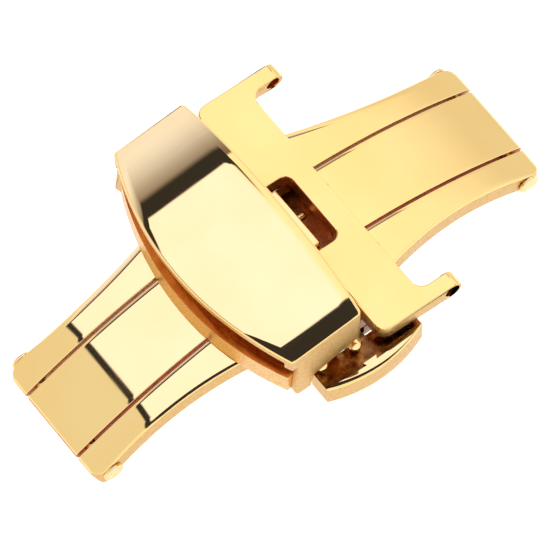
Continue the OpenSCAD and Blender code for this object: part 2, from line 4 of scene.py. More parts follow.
import bmesh
import bpy
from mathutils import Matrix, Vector

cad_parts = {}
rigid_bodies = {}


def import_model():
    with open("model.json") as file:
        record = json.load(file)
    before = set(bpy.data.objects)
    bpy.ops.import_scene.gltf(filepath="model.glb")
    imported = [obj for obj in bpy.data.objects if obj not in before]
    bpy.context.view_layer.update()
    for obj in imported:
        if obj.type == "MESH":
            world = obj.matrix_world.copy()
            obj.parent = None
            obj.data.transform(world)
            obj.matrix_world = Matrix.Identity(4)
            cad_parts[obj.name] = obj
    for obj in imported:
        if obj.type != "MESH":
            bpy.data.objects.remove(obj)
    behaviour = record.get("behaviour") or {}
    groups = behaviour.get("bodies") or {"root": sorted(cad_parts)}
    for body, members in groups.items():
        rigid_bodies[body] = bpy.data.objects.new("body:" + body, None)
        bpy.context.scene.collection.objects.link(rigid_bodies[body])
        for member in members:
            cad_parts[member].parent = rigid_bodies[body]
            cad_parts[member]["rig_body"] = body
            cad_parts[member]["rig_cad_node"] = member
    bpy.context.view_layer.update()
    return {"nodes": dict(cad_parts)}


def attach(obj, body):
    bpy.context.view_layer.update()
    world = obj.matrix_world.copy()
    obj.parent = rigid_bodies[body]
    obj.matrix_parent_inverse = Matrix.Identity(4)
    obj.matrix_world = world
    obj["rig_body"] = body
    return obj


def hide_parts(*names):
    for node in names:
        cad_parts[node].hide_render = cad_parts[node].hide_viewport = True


# Looks of a polished gold pushbutton clasp. Lengths are in millimetres, and MM turns them into metres.
MM = 0.001

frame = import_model()

# Where the photograph was taken from, and what it looks at
LOOK_AT = Vector((0.0, 0.585, 6.1077)) * MM
VIEW_BACK = Vector((-0.2640, -0.3448, 0.9008))
VIEW_RIGHT = Vector((0.7940, -0.6079, 0.0))
VIEW_UP = Vector((0.5476, 0.7152, 0.4343))
CAMERA_AWAY = 469.5 * MM
CAMERA_DOWN = 2.434 * MM
CAMERA_LEFT = 0.079 * MM
LENS = 463.8
SENSOR = 36
CLIP_START = 0.01
CLIP_END = 10

# Mid-plane of the clasp, the top of its arch and the radius of the arch
MID_Y = 0.585
CROWN = 6.1077
ARCH_R = 38.1

# Inside of the lock housing: its floor, and its reach along and across the clasp
HOUSING_FLOOR = 3.3
HOUSING_INSIDE_X = 4.35
HOUSING_INSIDE_Y = 8

# Walls that face the button: their reach along the clasp, and how far from the mid-plane they start
NEAR_WALL_X = 4.4
NEAR_WALL_Y = 7.9

# Spring bar holes of the lugs
LUG_HOLE_X = 6.75
LUG_HOLE_Z = CROWN + 0.42
LUG_HOLE_R = 0.5

# Reach of the walls round the lug plate's window, from the mid-plane
WINDOW_Y = 4.4

# Inner end of the keeper tray's raised rim, along the clasp
TRAY_RIM_X = -3

# Push button: its top, the arc of its outer face, and the rounding of that edge, which gets narrower
# from the keeper end on and goes only part of its width down the side
BUTTON_TOP = CROWN - 0.33
BUTTON_MID_Y = MID_Y - 1.3
BUTTON_R = 10.15
BUTTON_END_X = -4
BUTTON_EDGE = 0.46
BUTTON_EDGE_TAPER = 0.045
CROWN_FLAT = 1.3

# Lower inner side of the push button, which ends in a wide arc with a stem
WELL_DEPTH = 0.2
WELL_R = 26.4
WELL_Y = -10.24
WELL_LIMIT_Y = -10.3
STEM_R = 0.62
STEM_X = -0.4
STEM_Y = WELL_Y - 0.05

# Arcs of the rails' waisted outer edges, in the quarter towards the lugs and away from the button, and
# the middle of a long slot and its outer wall
WAIST_X = 14.3
WAIST_Y = 40.85
WAIST_R = 36
SLOT_MID = 2.78
SLOT_WALL = 3.3

# Rounding of the rails' outer top edges, its inner limit, and where it fades towards the hinges
RAIL_EDGE = 0.18
RAIL_EDGE_LOSS = 0.12
RAIL_EDGE_Y = 4.5
RAIL_FADE_X = 13
RAIL_FADE_LENGTH = 3
FINE_EDGE = 0.06

# Depth that rolled-over edges are drawn with, on the cover and on the strips
ROLL_DEPTH = 0.1

# Cover plate of the keeper
COVER_T = 0.55
COVER_HALF = 9.65
COVER_FLAT = 3.6
COVER_BEND = 27.5
COVER_CORNER = 0.35
COVER_TOP = CROWN + 5.675
COVER_MID_X = -3.1
COVER_TILT = 4.5
COVER_LEFT = 8.4
COVER_LEFT_R = 21.395
COVER_RIGHT = 0.05
COVER_RIGHT_R = 111.07

# Rounding of the cover's edges: broad along the lug side, less at its corners, finer on the lips
COVER_EDGE_BROAD = 0.22
COVER_EDGE_LOSS = 0.12
COVER_EDGE_SIDE = 0.1
COVER_EDGE_BACK = 0.09
COVER_BACK_X = -1.2

# Blank that the cover is cut from, longer all round than the cover
BLANK_HALF = 12
BLANK_OVER = 0.1
BLANK_LIP = 8
BEND_OVER = 1.5
BEND_STEPS = 22
OUTLINE_TOP = 16

# Lips of the cover
LIP_LOW = -0.55
LIP_X = -5.85
LIP_FAR_X = -6.15
LIP_TOE_R = 0.5
TOE_LEAN = -4.7
TOE_TOP = 3.6
NOTCH_X = -4.3
NOTCH_Z = 0.8
NOTCH_RISE = 14.5
NOTCH_HEEL = 10.5
HEEL_LENGTH = 1.5
CUT_DEPTH = 4

# Sides of a cutting rod for a wide arc, and of one for a closer arc
WIDE_ARC_SIDES = 720
ARC_SIDES = 360

# Table top, under the lowest reach of the unfolded wings, and how much whiter than lit it looks
TABLE_Z = -13.5
TABLE_LIFT = 0.45
TABLE_SIZE = 3

# Brightness of the room: white all round, a soft box overhead in a dark frame, and a brown wall behind
ROOM_WHITE = (1.12, 1.12, 1.08)
ROOM_LEFT = (0.87, 0.87, 0.87)
ROOM_RIGHT_NEAR = (1.24, 1.22, 1.2)
ROOM_RIGHT_FAR = (0.86, 0.84, 0.80)
SOFT_BOX = (1.3, 1.32, 1.9)
DARK_FRAME = (0.037, 0.037, 0.05)
BROWN_LOW = (0.22, 0.18, 0.19)
BROWN_HIGH = (1.0, 1.1, 1.7)

# Limits of the soft box, its frame and the brown wall, as room_light counts along and across; each near
# frame has its own reach along and its own lower limit across
BOX_LEFT, BOX_RIGHT = -0.515, 0.9
BOX_NEAR_SOFT = 0.006
BOX_FAR_WHITE, BOX_FAR_DARK = 0.394, 0.406
BOX_CORNER_START, BOX_CORNER_END, BOX_CORNER_CUT = 0.15, 0.42, 0.043
FRAME_LEFT, FRAME_RIGHT = -0.55, 0.42
FRAME_NEAR, FRAME_FAR = -0.2, 0.486
NEAR_FRAMES = ((0.62, -0.2), (0.5, -0.75))
BROWN_LEFT, BROWN_RIGHT = -0.5, 1.0

# Darker and lighter tone of each finish
BUFFED = ((1.0, 0.69, 0.27), (1.0, 0.73, 0.31))
# Satin tone: brushed gold, darkened as painted shade for upright sides and the lock housing
SATIN_AND_SHADE = ((0.66, 0.40, 0.125), (0.79, 0.52, 0.19))
GRAINED = ((0.72, 0.42, 0.14), (0.98, 0.64, 0.27))
# Deep orange painted shade for the inside of the lock housing and the walls of the lug plate's window
INSIDE = ((0.85, 0.28, 0.07), (1.0, 0.52, 0.2))
GILT = ((0.42, 0.23, 0.07), (0.66, 0.42, 0.15))
# Deep orange painted shade for the slots, the blades' sides, the tray and the lug holes
PAINTED_FOLD_SHADE = ((0.50, 0.125, 0.015), (0.68, 0.22, 0.03))
# Dark brown painted shade for the button's well and the walls that face the button
PAINTED_SHADE = ((0.16, 0.06, 0.015), (0.34, 0.14, 0.035))
TURNED = ((0.95, 0.66, 0.28), (1.0, 0.76, 0.38))
BARE_STEEL = ((0.50, 0.49, 0.47), (0.66, 0.65, 0.62))
PALE_TABLE = ((0.95, 0.94, 0.92), (0.97, 0.96, 0.94))


def deselect_all():
    if bpy.context.object and bpy.context.object.mode != "OBJECT":
        bpy.ops.object.mode_set(mode="OBJECT")
    bpy.ops.object.select_all(action="DESELECT")


def make_active(piece):
    deselect_all()
    piece.select_set(True)
    bpy.context.view_layer.objects.active = piece


# Materials

def start_material(name):
    material = bpy.data.materials.new(name)
    material.use_nodes = True
    tree = material.node_tree
    tree.nodes.clear()
    out = tree.nodes.new("ShaderNodeOutputMaterial")
    shader = tree.nodes.new("ShaderNodeBsdfPrincipled")
    tree.links.new(shader.outputs["BSDF"], out.inputs["Surface"])
    return material, tree, shader


def calculate(tree, operation, one, other):
    """A math node; each input is a node's output or a number."""
    node = tree.nodes.new("ShaderNodeMath")
    node.operation = operation
    for socket, value in zip(node.inputs, (one, other)):
        if isinstance(value, (int, float)):
            socket.default_value = value
        else:
            tree.links.new(value, socket)
    return node.outputs[0]


def noise(tree, size_mm, detail=3.0, stretch=(1, 1, 1)):
    """Noise whose lumps are about size_mm across, longer where stretch is below 1."""
    place = tree.nodes.new("ShaderNodeTexCoord")
    turn = tree.nodes.new("ShaderNodeMapping")
    turn.inputs["Scale"].default_value = stretch
    lumps = tree.nodes.new("ShaderNodeTexNoise")
    lumps.inputs["Scale"].default_value = 1 / (size_mm * MM)
    lumps.inputs["Detail"].default_value = detail
    tree.links.new(place.outputs["Object"], turn.inputs["Vector"])
    tree.links.new(turn.outputs["Vector"], lumps.inputs["Vector"])
    return lumps


def spread(tree, source, low, high):
    """The source's middle range turned into values from low to high."""
    span = tree.nodes.new("ShaderNodeMapRange")
    span.inputs["From Min"].default_value = 0.3
    span.inputs["From Max"].default_value = 0.7
    span.inputs["To Min"].default_value = low
    span.inputs["To Max"].default_value = high
    tree.links.new(source.outputs[0], span.inputs["Value"])
    return span


def two_tone(tree, source, one, other):
    ramp = tree.nodes.new("ShaderNodeValToRGB")
    ramp.color_ramp.elements[0].position = 0.35
    ramp.color_ramp.elements[0].color = (*one, 1)
    ramp.color_ramp.elements[1].position = 0.65
    ramp.color_ramp.elements[1].color = (*other, 1)
    tree.links.new(source.outputs[0], ramp.inputs["Fac"])
    return ramp


def relief(tree, source, depth_mm, under=None):
    """A bump as deep as depth_mm, laid over the bump under it."""
    bump = tree.nodes.new("ShaderNodeBump")
    bump.inputs["Strength"].default_value = 1
    bump.inputs["Distance"].default_value = depth_mm * MM
    tree.links.new(source.outputs[0], bump.inputs["Height"])
    if under:
        tree.links.new(under.outputs["Normal"], bump.inputs["Normal"])
    return bump


def start_metal(name, tones, tone_mm, smear_mm, smears, smear_detail=3):
    """A metal whose tone drifts over lumps of tone_mm and whose roughness drifts over lumps of smear_mm."""
    material, tree, shader = start_material(name)
    shader.inputs["Metallic"].default_value = 1
    tone = two_tone(tree, noise(tree, tone_mm), *tones)
    tree.links.new(tone.outputs["Color"], shader.inputs["Base Color"])
    smear = spread(tree, noise(tree, smear_mm, smear_detail), *smears)
    tree.links.new(smear.outputs["Result"], shader.inputs["Roughness"])
    return material, tree, shader


def set_relief(tree, shader, bump):
    tree.links.new(bump.outputs["Normal"], shader.inputs["Normal"])


def polished_gold(name, roll=None):
    """Buffed gold plate: a mirror with faint waves from the wheel and hairline scratches.

    roll builds the height, from 0 to 1 times ROLL_DEPTH, that the wheel took off along the edges.
    """
    material, tree, shader = start_metal(name, BUFFED, 6, 2.5, (0.015, 0.035), 4)
    rolled = relief(tree, roll(tree), ROLL_DEPTH) if roll else None
    waves = relief(tree, noise(tree, 4, 1), 0.004, rolled)
    set_relief(tree, shader, relief(tree, noise(tree, 0.35, 2, (1, 0.08, 1)), 0.0003, waves))
    return material


def along_and_across(tree):
    """Place of a point along and across the clasp, in millimetres from its middle."""
    place = tree.nodes.new("ShaderNodeTexCoord")
    split = tree.nodes.new("ShaderNodeSeparateXYZ")
    tree.links.new(place.outputs["Object"], split.inputs["Vector"])
    x = calculate(tree, "DIVIDE", split.outputs["X"], MM)
    y = calculate(tree, "SUBTRACT", calculate(tree, "DIVIDE", split.outputs["Y"], MM), MID_Y)
    return x, y


def reach_from(tree, centre_x, centre_y=0.0, mirrored=False):
    """Distance in millimetres from an upright axis; mirrored folds the four quarters onto one."""
    x, y = along_and_across(tree)
    if mirrored:
        x = calculate(tree, "ABSOLUTE", x, 0)
        y = calculate(tree, "ABSOLUTE", y, 0)
    x = calculate(tree, "SUBTRACT", x, centre_x)
    y = calculate(tree, "SUBTRACT", y, centre_y)
    squares = calculate(tree, "ADD", calculate(tree, "MULTIPLY", x, x), calculate(tree, "MULTIPLY", y, y))
    return calculate(tree, "SQRT", squares, 0)


def roll_off(tree, inwards, width, depth):
    """Height taken off: depth at an edge, fading to none at width inwards of it."""
    near = calculate(tree, "SUBTRACT", 1, calculate(tree, "DIVIDE", inwards, width))
    near = calculate(tree, "MINIMUM", calculate(tree, "MAXIMUM", near, 0), 1.3)
    return calculate(tree, "MULTIPLY", calculate(tree, "MULTIPLY", near, near), -depth / ROLL_DEPTH)


def cover_roll(tree):
    """Roll-over along the cover's two curved edges."""
    front = calculate(tree, "SUBTRACT", COVER_RIGHT_R, reach_from(tree, COVER_RIGHT - COVER_RIGHT_R))
    bulge = calculate(tree, "SUBTRACT", COVER_LEFT_R, reach_from(tree, COVER_LEFT_R - COVER_LEFT))
    return calculate(tree, "ADD", roll_off(tree, front, 1.1, 0.14), roll_off(tree, bulge, 0.6, 0.12)).node


def strip_roll(tree):
    """Roll-over along the waisted outer edges of the rails and on both sides of the long slots."""
    waist = calculate(tree, "SUBTRACT", reach_from(tree, WAIST_X, WAIST_Y, True), WAIST_R)
    _, y = along_and_across(tree)
    beside = calculate(tree, "SUBTRACT", calculate(tree, "ABSOLUTE", y, 0), SLOT_MID)
    beside = calculate(tree, "ABSOLUTE", beside, 0)
    return calculate(tree, "ADD", roll_off(tree, waist, 0.5, 0.09), roll_off(tree, beside, 0.4, 0.05)).node


def satin_gold(name, tones):
    """Gold plate over a brushed, unpolished face: fine grain that scatters the light."""
    material, tree, shader = start_metal(name, tones, 0.12, 0.2, (0.3, 0.45))
    set_relief(tree, shader, relief(tree, noise(tree, 0.08, 3), 0.004))
    return material


def painted_fold_shade_gold():
    """Plated faces inside folds, slots and holes: dull, with painted shade in deep orange."""
    material, tree, shader = start_metal("painted_fold_shade_gold_plate", PAINTED_FOLD_SHADE, 1.2, 0.3, (0.25, 0.4))
    set_relief(tree, shader, relief(tree, noise(tree, 0.1, 2), 0.001))
    return material


def painted_shade_gold():
    """Painted shade for recesses and for walls that face the button: dull gold, coloured dark brown."""
    material, tree, shader = start_metal("painted_shade_gold_recess", PAINTED_SHADE, 0.5, 0.3, (0.12, 0.3))
    set_relief(tree, shader, relief(tree, noise(tree, 0.7, 2), 0.012))
    return material


def pin_gold():
    """Turned pins: plated gold with the rings of the lathe left in it."""
    material, tree, shader = start_metal("turned_pin_gold", TURNED, 0.5, 0.4, (0.1, 0.22))
    set_relief(tree, shader, relief(tree, noise(tree, 0.15, 2, (1, 4, 1)), 0.001))
    return material


def inner_steel():
    """Bare steel of the spring, with rolling marks along the clasp."""
    material, tree, shader = start_metal("rolled_inner_steel", BARE_STEEL, 0.6, 0.3, (0.22, 0.38))
    set_relief(tree, shader, relief(tree, noise(tree, 0.1, 2, (0.1, 1, 1)), 0.002))
    return material


# Shaping

def finish_with(piece, material):
    piece.data.materials.clear()
    piece.data.materials.append(material)


def add_block(name, along, across, up):
    """A block between three pairs of coordinates."""
    deselect_all()
    spans = (along, across, up)
    bpy.ops.mesh.primitive_cube_add(size=1, location=[(low + high) / 2 * MM for low, high in spans],
                                    scale=[(high - low) * MM for low, high in spans])
    piece = bpy.context.object
    piece.name = name
    bpy.ops.object.transform_apply(location=True, rotation=True, scale=True)
    return piece


def add_rod(name, radius, start, end, sides):
    """A round bar from one point to another."""
    deselect_all()
    start, end = Vector(start) * MM, Vector(end) * MM
    reach = end - start
    bpy.ops.mesh.primitive_cylinder_add(vertices=sides, radius=radius * MM, depth=reach.length,
                                        location=(start + end) / 2,
                                        rotation=reach.to_track_quat("Z", "Y").to_euler())
    piece = bpy.context.object
    piece.name = name
    bpy.ops.object.transform_apply(location=True, rotation=True, scale=True)
    return piece


def combine(piece, tool, way):
    """Cuts the tool away, joins it on, or keeps only what lies inside it."""
    make_active(piece)
    step = piece.modifiers.new("work", "BOOLEAN")
    step.operation = way
    step.solver = "EXACT"
    step.object = tool
    bpy.ops.object.modifier_apply(modifier=step.name)
    bpy.data.objects.remove(tool)
    return piece


def choose_faces(piece, wanted):
    make_active(piece)
    bpy.ops.object.mode_set(mode="EDIT")
    bpy.ops.mesh.select_mode(type="FACE")
    bpy.ops.mesh.select_all(action="DESELECT")
    shape = bmesh.from_edit_mesh(piece.data)
    for face in shape.faces:
        face.select_set(bool(wanted(face.calc_center_median() / MM, face.normal)))
    bmesh.update_edit_mesh(piece.data)


def choose_edges(piece, wanted, sharper_than):
    """Selects the edges that are sharp enough and whose middle and direction are wanted."""
    make_active(piece)
    bpy.ops.object.mode_set(mode="EDIT")
    bpy.ops.mesh.select_mode(type="EDGE")
    bpy.ops.mesh.select_all(action="DESELECT")
    shape = bmesh.from_edit_mesh(piece.data)
    for edge in shape.edges:
        one, other = edge.verts[0].co / MM, edge.verts[1].co / MM
        sharp = edge.calc_face_angle(0) > math.radians(sharper_than)
        edge.select_set(bool(sharp and wanted((one + other) / 2, (other - one).normalized())))
    bmesh.update_edit_mesh(piece.data)


def round_edges(piece, radius, steps, wanted, sharper_than):
    choose_edges(piece, wanted, sharper_than)
    bpy.ops.mesh.bevel(offset=radius * MM, offset_type="OFFSET", segments=steps, profile=0.5,
                       affect="EDGES", clamp_overlap=False)
    bpy.ops.object.mode_set(mode="OBJECT")


def cut_flat(piece, point, normal, drop_outer=False, wanted=None):
    """Cuts the piece on a plane, or only its chosen faces; what lies past the plane can be dropped."""
    choose_faces(piece, wanted or (lambda at, out: True))
    bpy.ops.mesh.bisect(plane_co=Vector(point) * MM, plane_no=normal, use_fill=drop_outer,
                        clear_outer=drop_outer, threshold=0.0005 * MM)
    bpy.ops.object.mode_set(mode="OBJECT")


def swing(piece, wanted, centre, axis, degrees, steps):
    """Draws the chosen faces out along a circle."""
    choose_faces(piece, wanted)
    bpy.ops.mesh.spin(steps=steps, angle=math.radians(degrees), center=Vector(centre) * MM, axis=axis)
    bpy.ops.object.mode_set(mode="OBJECT")


def draw_out(piece, wanted, move):
    """Draws the chosen faces out in a straight line."""
    choose_faces(piece, wanted)
    bpy.ops.mesh.extrude_region_move(TRANSFORM_OT_translate={"value": Vector(move) * MM})
    bpy.ops.object.mode_set(mode="OBJECT")


def merge_points(piece, gap_mm, flat_within):
    """Merges points nearer than gap_mm, and faces that lie flat within that many degrees."""
    make_active(piece)
    bpy.ops.object.mode_set(mode="EDIT")
    bpy.ops.mesh.select_all(action="SELECT")
    bpy.ops.mesh.remove_doubles(threshold=gap_mm * MM)
    bpy.ops.mesh.dissolve_limited(angle_limit=math.radians(flat_within))
    bpy.ops.object.mode_set(mode="OBJECT")


def stretch_up(piece, times):
    piece.scale = (1, 1, times)
    make_active(piece)
    bpy.ops.object.transform_apply(location=False, rotation=False, scale=True)


def wear_edges(piece, width_of, steps, sharper_than=35, flatten=1):
    """Rounds every sharp edge, each as widely as width_of gives for its place and direction.

    With flatten above 1 the rounding goes only that fraction of its width down the side.
    """
    choose_edges(piece, lambda at, way: False, sharper_than)
    shape = bmesh.from_edit_mesh(piece.data)
    weight = shape.edges.layers.float.get("bevel_weight_edge")
    weight = weight or shape.edges.layers.float.new("bevel_weight_edge")
    for edge in shape.edges:
        edge[weight] = 0
        if edge.calc_face_angle(0) > math.radians(sharper_than):
            one, other = edge.verts[0].co / MM, edge.verts[1].co / MM
            edge[weight] = width_of((one + other) / 2, (other - one).normalized())
    bmesh.update_edit_mesh(piece.data)
    bpy.ops.object.mode_set(mode="OBJECT")
    stretch_up(piece, flatten)
    bevel = piece.modifiers.new("worn_edges", "BEVEL")
    bevel.limit_method = "WEIGHT"
    bevel.width = MM
    bevel.segments = steps
    bevel.use_clamp_overlap = False
    bpy.ops.object.modifier_apply(modifier=bevel.name)
    stretch_up(piece, 1 / flatten)


def smooth_faces(piece, angle):
    """Smooth shading that keeps the broad faces true next to their narrow rounded edges."""
    make_active(piece)
    bpy.ops.object.shade_smooth_by_angle(angle=math.radians(angle))
    weigh = piece.modifiers.new("even_shading", "WEIGHTED_NORMAL")
    weigh.keep_sharp = True
    weigh.weight = 100
    bpy.ops.object.modifier_apply(modifier=weigh.name)


def turn_about_y(piece, centre, degrees):
    make_active(piece)
    bpy.ops.object.mode_set(mode="EDIT")
    bpy.ops.mesh.select_all(action="SELECT")
    bpy.ops.transform.rotate(value=math.radians(degrees), orient_axis="Y", orient_type="GLOBAL",
                             center_override=Vector(centre) * MM)
    bpy.ops.object.mode_set(mode="OBJECT")


def clean_copy(node):
    """A copy of a machined node with its loose triangles merged."""
    deselect_all()
    source = frame["nodes"][node]
    piece = source.copy()
    piece.data = source.data.copy()
    piece.name = node + "_dressed"
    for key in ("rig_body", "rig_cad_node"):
        if key in piece:
            del piece[key]
    piece.parent = None
    bpy.context.scene.collection.objects.link(piece)
    make_active(piece)
    bpy.ops.object.mode_set(mode="EDIT")
    bpy.ops.mesh.customdata_custom_splitnormals_clear()
    bpy.ops.object.mode_set(mode="OBJECT")
    merge_points(piece, 0.002, 0.3)
    return piece


def fit_on(piece, body, slot, material, *nodes):
    """Gives a finished piece its finish, and lets it ride on its body in the place of its nodes."""
    finish_with(piece, material)
    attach(piece, body)
    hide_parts(*nodes)
    return piece


def finish_sides(piece, material, wanted):
    """Gives the wanted faces a second finish."""
    piece.data.materials.append(material)
    last = len(piece.data.materials) - 1
    for face in piece.data.polygons:
        if wanted(face.center / MM, face.normal):
            face.material_index = last


def dress(node, body, slot, material, edge_width):
    """A machined node with its edges broken, each as wide as edge_width says."""
    piece = clean_copy(node)
    if edge_width:
        wear_edges(piece, edge_width if callable(edge_width) else lambda at, way: edge_width, 3, 28)
    smooth_faces(piece, 28)
    return fit_on(piece, body, slot, material, node)


# Which faces and edges of a piece are meant

def arch_level(x):
    """Level of the arch's outer face."""
    return CROWN - ARCH_R + math.sqrt(ARCH_R ** 2 - x ** 2)


def cover_height(at):
    """Level of the cover's outer face over a point."""
    past = max(0, abs(at.y - MID_Y) - COVER_FLAT)
    drop = COVER_BEND - math.sqrt(COVER_BEND ** 2 - past ** 2)
    return COVER_TOP + (at.x - COVER_MID_X) * math.tan(math.radians(COVER_TILT)) - drop


def upright(at, out):
    return abs(out.z) < 0.3


def in_slot(at, out):
    """The rails' walls along the blades; the far one that faces the button is gold like the outside."""
    return abs(out.y) > 0.7 and abs(at.y - MID_Y) < SLOT_WALL and (at.y < MID_Y or out.y > 0)


def in_housing(at, out):
    """The inside of the lock housing, within its walls and over its floor."""
    within = abs(at.x) < HOUSING_INSIDE_X and abs(at.y - MID_Y) < HOUSING_INSIDE_Y
    return at.z > HOUSING_FLOOR and within


def near_wall(at, out):
    """The walls of the rails and of the lock housing that face the button."""
    return out.y < -0.3 and at.y < MID_Y - NEAR_WALL_Y and abs(at.x) < NEAR_WALL_X


def in_tray(at, out):
    """The tray's floor, rim tops and underside, and the inner wall of its raised rim."""
    return not upright(at, out) or out.x > 0.1 and at.x < TRAY_RIM_X


def in_window(at, out):
    """The lug plate's walls that face the keeper, in and beside its window."""
    return out.x < -0.4 and abs(at.y - MID_Y) < WINDOW_Y


def in_lug_hole(at, out):
    """The walls of the spring bar holes near the tips of the lugs."""
    return abs(out.y) < 0.3 and math.hypot(at.x - LUG_HOLE_X, at.z - LUG_HOLE_Z) < LUG_HOLE_R + 0.15


def in_well(at, out):
    """The floor and the curved wall of the button's lower inner side."""
    below_rim = BUTTON_TOP - WELL_DEPTH - 0.02 < at.z < BUTTON_TOP - 0.05
    in_arc = math.hypot(at.x, at.y - WELL_Y - WELL_R) < WELL_R + 0.02
    return below_rim and in_arc and abs(out.x) < 0.9 and at.y > WELL_LIMIT_Y


def rail_edge_width(at, way):
    """Broad rounding along the outer top edges of the rails, fading towards the hinges; fine elsewhere."""
    if abs(at.y - MID_Y) < RAIL_EDGE_Y or at.z < arch_level(at.x) - 0.4:
        return FINE_EDGE
    fade = min(1, max(0, (abs(at.x) - RAIL_FADE_X) / RAIL_FADE_LENGTH))
    return RAIL_EDGE - RAIL_EDGE_LOSS * fade


def blade_edge_width(at, way):
    """Finer along the blades and round the hinge knuckles than across the blades' ends."""
    return 0.12 if abs(way.y) > 0.7 and at.z > 1 else 0.05


def cover_edge_width(at, way):
    """Width of the rounding of an edge: broad along the lug side, and fading out round its corners."""
    if abs(at.z - cover_height(at)) > 0.05:
        return FINE_EDGE
    if abs(way.x) > 0.7:
        return COVER_EDGE_SIDE
    if at.x < COVER_BACK_X:
        return COVER_EDGE_BACK
    corner = (abs(at.y - MID_Y) - (COVER_HALF - COVER_CORNER)) / COVER_CORNER
    return COVER_EDGE_BROAD if corner < 0 else COVER_EDGE_BROAD - COVER_EDGE_LOSS * min(1, corner)


def button_edge_width(at, way):
    """Rounding of the button's outer top edge alone, narrower towards the lug end."""
    reach = math.hypot(at.x, at.y - BUTTON_MID_Y)
    if reach < BUTTON_R - 0.05 or at.z < BUTTON_TOP - 0.05:
        return 0
    return BUTTON_EDGE - BUTTON_EDGE_TAPER * (at.x - BUTTON_END_X)


# Pieces

def bend_cover_blank():
    """A plate bent down along both ends, with a lip drawn down from each, and tilted as the cover is."""
    piece = add_block("cover_plate", (-BLANK_HALF, BLANK_HALF),
                      (MID_Y - COVER_FLAT, MID_Y + COVER_FLAT), (COVER_TOP - COVER_T, COVER_TOP))
    bend = math.degrees(math.asin((COVER_HALF + BLANK_OVER - COVER_FLAT) / COVER_BEND)) + BEND_OVER
    for side in (-1, 1):
        swing(piece, lambda at, out: out.y * side > 0.99 and abs(at.y - MID_Y) < COVER_FLAT + 0.1,
              (0, MID_Y + side * COVER_FLAT, COVER_TOP - COVER_BEND), (1, 0, 0), side * bend, BEND_STEPS)
        cut_flat(piece, (0, MID_Y + side * (COVER_HALF + BLANK_OVER), 0), (0, side, 0), True)
        cut_flat(piece, (0, MID_Y + side * (COVER_HALF - COVER_T), 0), (0, side, 0), False,
                 lambda at, out: out.z < -0.5)
        draw_out(piece, lambda at, out: out.z < -0.5 and (at.y - MID_Y) * side > COVER_HALF - COVER_T,
                 (0, 0, -BLANK_LIP))
    turn_about_y(piece, (COVER_MID_X, 0, COVER_TOP), COVER_TILT)
    return piece


def cover_outline():
    """What the blank is cut to: one edge bulges strongly over the strap's way in, one is nearly straight."""
    outline = add_block("outline", (-9, 1), (MID_Y - COVER_HALF, MID_Y + COVER_HALF), (0, OUTLINE_TOP))
    front_x = COVER_RIGHT - COVER_RIGHT_R
    front = add_rod("front", COVER_RIGHT_R, (front_x, MID_Y, -1), (front_x, MID_Y, OUTLINE_TOP + 1),
                    WIDE_ARC_SIDES)
    combine(outline, front, "INTERSECT")
    round_edges(outline, COVER_CORNER, 6, lambda at, way: abs(way.z) > 0.9 and at.x > -1, 40)
    bulge_x = COVER_LEFT_R - COVER_LEFT
    bulge = add_rod("bulge", COVER_LEFT_R, (bulge_x, MID_Y, -1), (bulge_x, MID_Y, OUTLINE_TOP + 1),
                    ARC_SIDES)
    return combine(outline, bulge, "INTERSECT")


def shape_lips(piece):
    """Cuts the lips to narrow feet on the keeper side, notched up towards the lug side."""
    cut_flat(piece, (0, 0, CROWN + LIP_LOW), (0, 0, -1), True)
    across = (MID_Y - BLANK_HALF, MID_Y + BLANK_HALF)
    corner = (NOTCH_X, 0, CROWN + NOTCH_Z)
    notch = add_block("notch", (NOTCH_X, 6), across, (CROWN - CUT_DEPTH, CROWN + NOTCH_Z))
    turn_about_y(notch, corner, NOTCH_RISE)
    combine(piece, notch, "DIFFERENCE")
    heel = add_block("heel", (NOTCH_X, NOTCH_X + HEEL_LENGTH), across,
                     (CROWN - CUT_DEPTH, CROWN + NOTCH_Z))
    turn_about_y(heel, corner, -NOTCH_HEEL)
    combine(piece, heel, "DIFFERENCE")
    for edge, lip in ((MID_Y - BLANK_HALF, LIP_X), (MID_Y + BLANK_HALF, LIP_FAR_X)):
        toe = add_block("toe", (-9, lip), (min(edge, MID_Y), max(edge, MID_Y)),
                        (CROWN - CUT_DEPTH, CROWN + TOE_TOP))
        turn_about_y(toe, (lip, 0, CROWN + LIP_LOW), TOE_LEAN)
        combine(piece, toe, "DIFFERENCE")


def make_cover():
    """Bent cover plate with a lip down each end, both cut to the bulging outline."""
    piece = bend_cover_blank()
    combine(piece, cover_outline(), "INTERSECT")
    shape_lips(piece)
    merge_points(piece, 0.02, 0.1)
    round_edges(piece, LIP_TOE_R, 5, lambda at, way: abs(way.y) > 0.9 and at.x < LIP_X + 0.1
                and at.z < CROWN + LIP_LOW + 0.1, 60)
    wear_edges(piece, cover_edge_width, 4)
    smooth_faces(piece, 30)
    fit_on(piece, "keeper_wing", "polished_gold", cover_mirror, "keeper_cover")
    # Upright faces: brushed satin, darkened with painted shade
    finish_sides(piece, satin_and_shade, upright)


